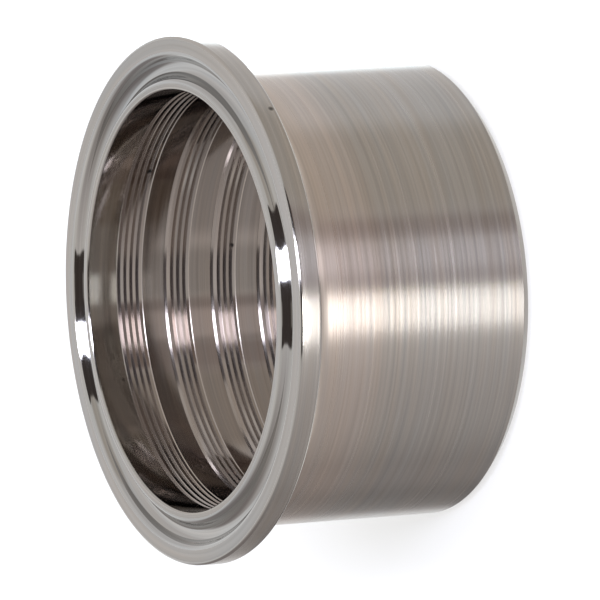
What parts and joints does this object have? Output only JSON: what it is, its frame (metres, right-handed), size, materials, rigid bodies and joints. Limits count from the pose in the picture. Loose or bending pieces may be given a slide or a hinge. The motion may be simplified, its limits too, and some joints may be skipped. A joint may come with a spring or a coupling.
{
  "type": "expanding ferrule",
  "caption": "Turned steel ring with a clamp flange: a tube end is rolled into its channelled bore, and a gasket seals in the groove of its face.",
  "frame": {"origin": "centre of the plain end, on the surface that the ferrule stands on", "axes": "+Z along the bore, from the plain end to the sealing face of the flange; X and Y are alike"},
  "size_m": [0.064, 0.064, 0.0333],
  "materials": {
    "turned_steel": "turned stainless steel with fine tool marks round the axis"
  },
  "bodies": {
    "root": {"ferrule": "turned_steel"}
  },
  "joints": []
}
